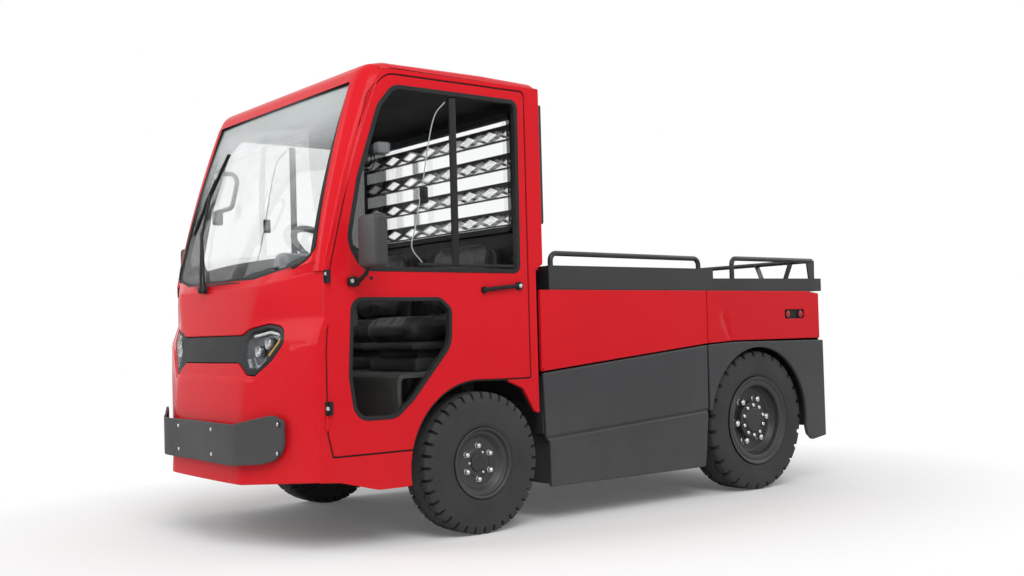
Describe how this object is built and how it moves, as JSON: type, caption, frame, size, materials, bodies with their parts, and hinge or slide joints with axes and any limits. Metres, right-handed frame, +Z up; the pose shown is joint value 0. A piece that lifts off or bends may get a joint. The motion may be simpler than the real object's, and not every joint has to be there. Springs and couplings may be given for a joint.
{
  "type": "airport tow tractor",
  "caption": "Compact two-seat tow tractor with a glazed forward cab, a railed load deck behind it, skirted sides and a stepped tow hitch at the rear.",
  "frame": {"origin": "on the ground, under the middle of the whole length and width", "axes": "+Z up, -Y towards the front, +X towards the driver's side"},
  "size_m": [1.86, 3.54, 1.994],
  "materials": {
    "red_paint": "gloss",
    "dark_plastic": "matte",
    "black_steel": "satin",
    "frame_steel": "satin",
    "tyre": "matte",
    "rim": "satin",
    "glass": "clear",
    "lamp": "gloss",
    "seat": "matte",
    "mirror": "matte"
  },
  "bodies": {
    "vehicle": {"chassis_frame": "frame_steel", "battery_pack": "dark_plastic", "front_axle": "frame_steel", "rear_axle": "frame_steel", "cab_floor": "red_paint", "cab_front": "red_paint", "cab_side_left": "red_paint", "cab_side_right": "red_paint", "cab_roof": "red_paint", "cab_rear_wall": "red_paint", "rear_window": "glass", "rear_window_guard": "black_steel", "windshield": "glass", "dashboard": "dark_plastic", "seat_left": "seat", "seat_right": "seat", "front_bumper": "dark_plastic", "headlamp_band": "lamp", "load_deck": "black_steel", "hoop_rail_left": "black_steel", "hoop_rail_right": "black_steel", "rear_rail": "black_steel", "side_panel_left": "red_paint", "side_panel_right": "red_paint", "rear_side_panel_left": "red_paint", "rear_side_panel_right": "red_paint", "skirt_left": "dark_plastic", "skirt_right": "dark_plastic", "rear_fender_left": "dark_plastic", "rear_fender_right": "dark_plastic", "tow_hitch": "frame_steel", "deck_portal_front": "frame_steel", "deck_portal_middle": "frame_steel", "deck_portal_rear": "frame_steel", "rear_plate": "frame_steel"},
    "steering": {"steering_wheel": "dark_plastic"},
    "knuckle_left": {"steering_knuckle_left": "frame_steel"},
    "front_wheel_left": {"wheel_front_left": "rim", "tyre_front_left": "tyre"},
    "rear_wheel_left": {"wheel_rear_left": "rim", "tyre_rear_left": "tyre"},
    "door_left": {"door_left": "red_paint", "door_upper_glass_left": "glass", "door_lower_glass_left": "glass", "mirror_left": "mirror"},
    "knuckle_right": {"steering_knuckle_right": "frame_steel"},
    "front_wheel_right": {"wheel_front_right": "rim", "tyre_front_right": "tyre"},
    "rear_wheel_right": {"wheel_rear_right": "rim", "tyre_rear_right": "tyre"},
    "door_right": {"door_right": "red_paint", "door_upper_glass_right": "glass", "door_lower_glass_right": "glass", "mirror_right": "mirror"}
  },
  "joints": [
    {"name": "steering", "type": "hinge", "parent": "vehicle", "child": "steering", "pos_m": [0.34, -1.27, 1.215], "axis": [0, 0.5736, 0.8192], "range_deg": [-540, 540]},
    {"name": "kingpin_left", "type": "hinge", "parent": "vehicle", "child": "knuckle_left", "pos_m": [0.5, -0.77, 0.305], "axis": [0, 0, 1], "range_deg": [-35, 35]},
    {"name": "front_wheel_spin_left", "type": "hinge", "parent": "knuckle_left", "child": "front_wheel_left", "pos_m": [0.6475, -0.77, 0.305], "axis": [1, 0, 0], "continuous": true},
    {"name": "rear_wheel_spin_left", "type": "hinge", "parent": "vehicle", "child": "rear_wheel_left", "pos_m": [0.5975, 1.11, 0.366], "axis": [1, 0, 0], "continuous": true},
    {"name": "door_hinge_left", "type": "hinge", "parent": "vehicle", "child": "door_left", "pos_m": [0.722, -1.512, 0.83], "axis": [0, 0, -1], "range_deg": [0, 75]},
    {"name": "kingpin_right", "type": "hinge", "parent": "vehicle", "child": "knuckle_right", "pos_m": [-0.5, -0.77, 0.305], "axis": [0, 0, 1], "range_deg": [-35, 35]},
    {"name": "front_wheel_spin_right", "type": "hinge", "parent": "knuckle_right", "child": "front_wheel_right", "pos_m": [-0.6475, -0.77, 0.305], "axis": [1, 0, 0], "continuous": true},
    {"name": "rear_wheel_spin_right", "type": "hinge", "parent": "vehicle", "child": "rear_wheel_right", "pos_m": [-0.5975, 1.11, 0.366], "axis": [1, 0, 0], "continuous": true},
    {"name": "door_hinge_right", "type": "hinge", "parent": "vehicle", "child": "door_right", "pos_m": [-0.722, -1.512, 0.83], "axis": [0, 0, 1], "range_deg": [0, 75]}
  ],
  "couplings": [
    {"joint": "kingpin_left", "follows": "steering", "ratio": 0.0648},
    {"joint": "kingpin_right", "follows": "steering", "ratio": 0.0648}
  ]
}
